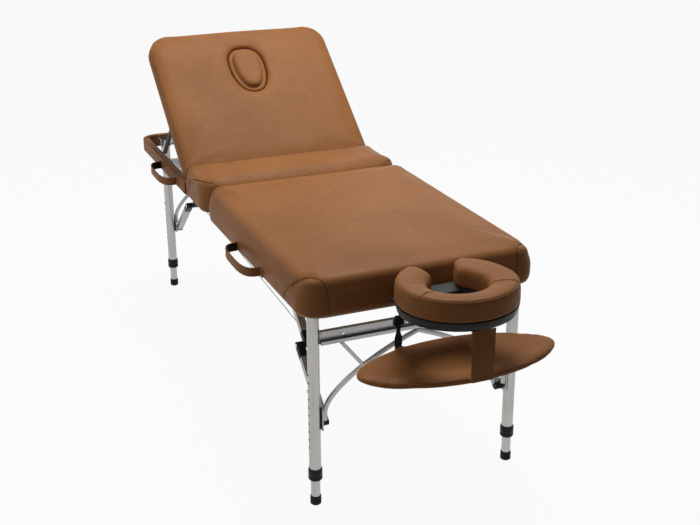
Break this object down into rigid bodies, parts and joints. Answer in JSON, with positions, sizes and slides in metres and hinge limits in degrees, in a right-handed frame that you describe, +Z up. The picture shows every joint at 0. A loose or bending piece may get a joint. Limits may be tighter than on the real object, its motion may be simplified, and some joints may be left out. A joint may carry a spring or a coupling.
{
  "type": "folding massage table",
  "caption": "Portable massage table that folds at the middle, with a lift-up backrest, telescoping aluminium legs, a tilting face cradle and a hanging arm sling.",
  "frame": {"origin": "on the floor under the middle of the bounding box", "axes": "+Z up, +Y along the table from the face cradle to the backrest end, +X across to the side without handles"},
  "size_m": [0.762, 2.182, 1.0584],
  "materials": {
    "brown_leather": "satin",
    "plywood": "satin",
    "satin_aluminium": "satin",
    "steel": "satin",
    "black_steel": "satin",
    "black_plastic": "matte",
    "black_webbing": "matte",
    "black_rubber": "matte"
  },
  "bodies": {
    "front_half": {"front_cushion": "brown_leather", "front_deck": "plywood", "front_frame": "plywood", "front_handle": "brown_leather", "front_hinge_leaf": "steel", "hinge_pin": "steel", "front_leg_mount": "steel", "front_brace_bar": "steel", "cradle_socket": "black_plastic", "left_cable": "steel", "right_cable": "steel"},
    "back_half": {"seat_cushion": "brown_leather", "seat_deck": "plywood", "back_frame": "plywood", "back_frame_cover": "brown_leather", "back_handle": "brown_leather", "back_hinge_leaf": "steel", "back_leg_mount": "steel", "backrest_subframe": "steel", "backrest_hinge_bar": "steel"},
    "backrest": {"backrest_cushion": "brown_leather", "backrest_board": "plywood", "backrest_hanger": "black_steel"},
    "face_plug_body": {"face_plug": "brown_leather"},
    "prop": {"prop_arms": "black_steel"},
    "front_legs": {"front_left_leg": "satin_aluminium", "front_right_leg": "satin_aluminium", "front_cross_rail": "satin_aluminium", "front_arch_brace": "satin_aluminium"},
    "front_left_extension": {"front_left_inner_leg": "satin_aluminium", "front_left_foot": "black_rubber"},
    "front_left_button_body": {"front_left_button": "steel"},
    "front_right_extension": {"front_right_inner_leg": "satin_aluminium", "front_right_foot": "black_rubber"},
    "front_right_button_body": {"front_right_button": "steel"},
    "front_lower_braces": {"front_left_lower_brace": "satin_aluminium", "front_right_lower_brace": "satin_aluminium"},
    "front_upper_braces": {"front_left_upper_brace": "satin_aluminium", "front_right_upper_brace": "satin_aluminium"},
    "back_legs": {"back_left_leg": "satin_aluminium", "back_right_leg": "satin_aluminium", "back_cross_rail": "satin_aluminium", "back_arch_brace": "satin_aluminium"},
    "back_left_extension": {"back_left_inner_leg": "satin_aluminium", "back_left_foot": "black_rubber"},
    "back_left_button_body": {"back_left_button": "steel"},
    "back_right_extension": {"back_right_inner_leg": "satin_aluminium", "back_right_foot": "black_rubber"},
    "back_right_button_body": {"back_right_button": "steel"},
    "back_lower_braces": {"back_left_lower_brace": "satin_aluminium", "back_right_lower_brace": "satin_aluminium"},
    "back_upper_braces": {"back_left_upper_brace": "satin_aluminium", "back_right_upper_brace": "satin_aluminium"},
    "cradle_carrier": {"cradle_fork": "black_steel", "sling_rear_strap": "black_webbing"},
    "cradle_lever_body": {"cradle_lever": "black_plastic"},
    "cradle_head": {"cradle_platform": "black_plastic", "cradle_cushion": "brown_leather"},
    "front_strap": {"sling_front_strap": "brown_leather"},
    "arm_sling": {"sling_pad": "brown_leather"}
  },
  "joints": [
    {"name": "table_fold", "type": "hinge", "parent": "front_half", "child": "back_half", "pos_m": [0.026, 0.166, 0.588], "axis": [-1, 0, 0], "range_deg": [0, 180], "deforming": ["left_cable", "right_cable"]},
    {"name": "front_leg_fold", "type": "hinge", "parent": "front_half", "child": "front_legs", "pos_m": [0.026, -0.706, 0.61], "axis": [1, 0, 0], "range_deg": [0, 90]},
    {"name": "front_upper_brace_fold", "type": "hinge", "parent": "front_half", "child": "front_upper_braces", "pos_m": [0.026, -0.246, 0.6205], "axis": [1, 0, 0], "range_deg": [-39.5, 0]},
    {"name": "front_lower_brace_fold", "type": "hinge", "parent": "front_legs", "child": "front_lower_braces", "pos_m": [0.026, -0.6955, 0.25], "axis": [1, 0, 0], "range_deg": [0, 50.5]},
    {"name": "back_leg_fold", "type": "hinge", "parent": "back_half", "child": "back_legs", "pos_m": [0.026, 1.038, 0.61], "axis": [-1, 0, 0], "range_deg": [0, 90]},
    {"name": "back_upper_brace_fold", "type": "hinge", "parent": "back_half", "child": "back_upper_braces", "pos_m": [0.026, 0.578, 0.6205], "axis": [-1, 0, 0], "range_deg": [-39.5, 0]},
    {"name": "back_lower_brace_fold", "type": "hinge", "parent": "back_legs", "child": "back_lower_braces", "pos_m": [0.026, 1.0275, 0.25], "axis": [-1, 0, 0], "range_deg": [0, 50.5]},
    {"name": "front_left_leg_height", "type": "slide", "parent": "front_legs", "child": "front_left_extension", "axis": [0, 0, -1], "range_m": [-0.05, 0.175], "deforming": ["front_left_button"]},
    {"name": "front_left_button_press", "type": "slide", "parent": "front_left_extension", "child": "front_left_button_body", "axis": [1, 0, 0], "range_m": [0, 0.004], "stiffness_N_per_m": 800},
    {"name": "front_right_leg_height", "type": "slide", "parent": "front_legs", "child": "front_right_extension", "axis": [0, 0, -1], "range_m": [-0.05, 0.175], "deforming": ["front_right_button"]},
    {"name": "front_right_button_press", "type": "slide", "parent": "front_right_extension", "child": "front_right_button_body", "axis": [-1, 0, 0], "range_m": [0, 0.004], "stiffness_N_per_m": 800},
    {"name": "back_left_leg_height", "type": "slide", "parent": "back_legs", "child": "back_left_extension", "axis": [0, 0, -1], "range_m": [-0.05, 0.175], "deforming": ["back_left_button"]},
    {"name": "back_left_button_press", "type": "slide", "parent": "back_left_extension", "child": "back_left_button_body", "axis": [1, 0, 0], "range_m": [0, 0.004], "stiffness_N_per_m": 800},
    {"name": "back_right_leg_height", "type": "slide", "parent": "back_legs", "child": "back_right_extension", "axis": [0, 0, -1], "range_m": [-0.05, 0.175], "deforming": ["back_right_button"]},
    {"name": "back_right_button_press", "type": "slide", "parent": "back_right_extension", "child": "back_right_button_body", "axis": [-1, 0, 0], "range_m": [0, 0.004], "stiffness_N_per_m": 800},
    {"name": "backrest_tilt", "type": "hinge", "parent": "back_half", "child": "backrest", "pos_m": [0.026, 0.446, 0.669], "axis": [1, 0, 0], "range_deg": [-38, 22]},
    {"name": "prop_swing", "type": "hinge", "parent": "backrest", "child": "prop", "pos_m": [0.026, 0.68577, 0.80366], "axis": [1, 0, 0], "range_deg": [-44, 76]},
    {"name": "face_plug_lift", "type": "slide", "parent": "backrest", "child": "face_plug_body", "axis": [0, -0.6157, 0.788], "range_m": [0, 0.1]},
    {"name": "cradle_slide", "type": "slide", "parent": "front_half", "child": "cradle_carrier", "axis": [0, -1, 0], "range_m": [0, 0.1]},
    {"name": "cradle_tilt", "type": "hinge", "parent": "cradle_carrier", "child": "cradle_head", "pos_m": [0.026, -0.834, 0.634], "axis": [1, 0, 0], "range_deg": [-25, 15]},
    {"name": "cradle_lever_turn", "type": "hinge", "parent": "cradle_carrier", "child": "cradle_lever_body", "pos_m": [-0.0888, -0.834, 0.634], "axis": [-1, 0, 0], "range_deg": [0, 45]},
    {"name": "sling_tilt", "type": "hinge", "parent": "cradle_carrier", "child": "arm_sling", "pos_m": [0.026, -0.834, 0.516], "axis": [1, 0, 0], "range_deg": [-25, 15]},
    {"name": "front_strap_swing", "type": "hinge", "parent": "cradle_head", "child": "front_strap", "pos_m": [0.026, -1.082, 0.634], "axis": [1, 0, 0], "range_deg": [-15, 25]}
  ],
  "couplings": [
    {"joint": "front_leg_fold", "follows": "table_fold", "ratio": 0.5},
    {"joint": "front_upper_brace_fold", "follows": "table_fold", "ratio": -0.21943},
    {"joint": "front_lower_brace_fold", "follows": "table_fold", "ratio": 0.28057},
    {"joint": "back_leg_fold", "follows": "table_fold", "ratio": 0.5},
    {"joint": "back_upper_brace_fold", "follows": "table_fold", "ratio": -0.21943},
    {"joint": "back_lower_brace_fold", "follows": "table_fold", "ratio": 0.28057},
    {"joint": "prop_swing", "follows": "backrest_tilt", "ratio": -2},
    {"joint": "sling_tilt", "follows": "cradle_tilt", "ratio": 1},
    {"joint": "front_strap_swing", "follows": "cradle_tilt", "ratio": -1}
  ]
}
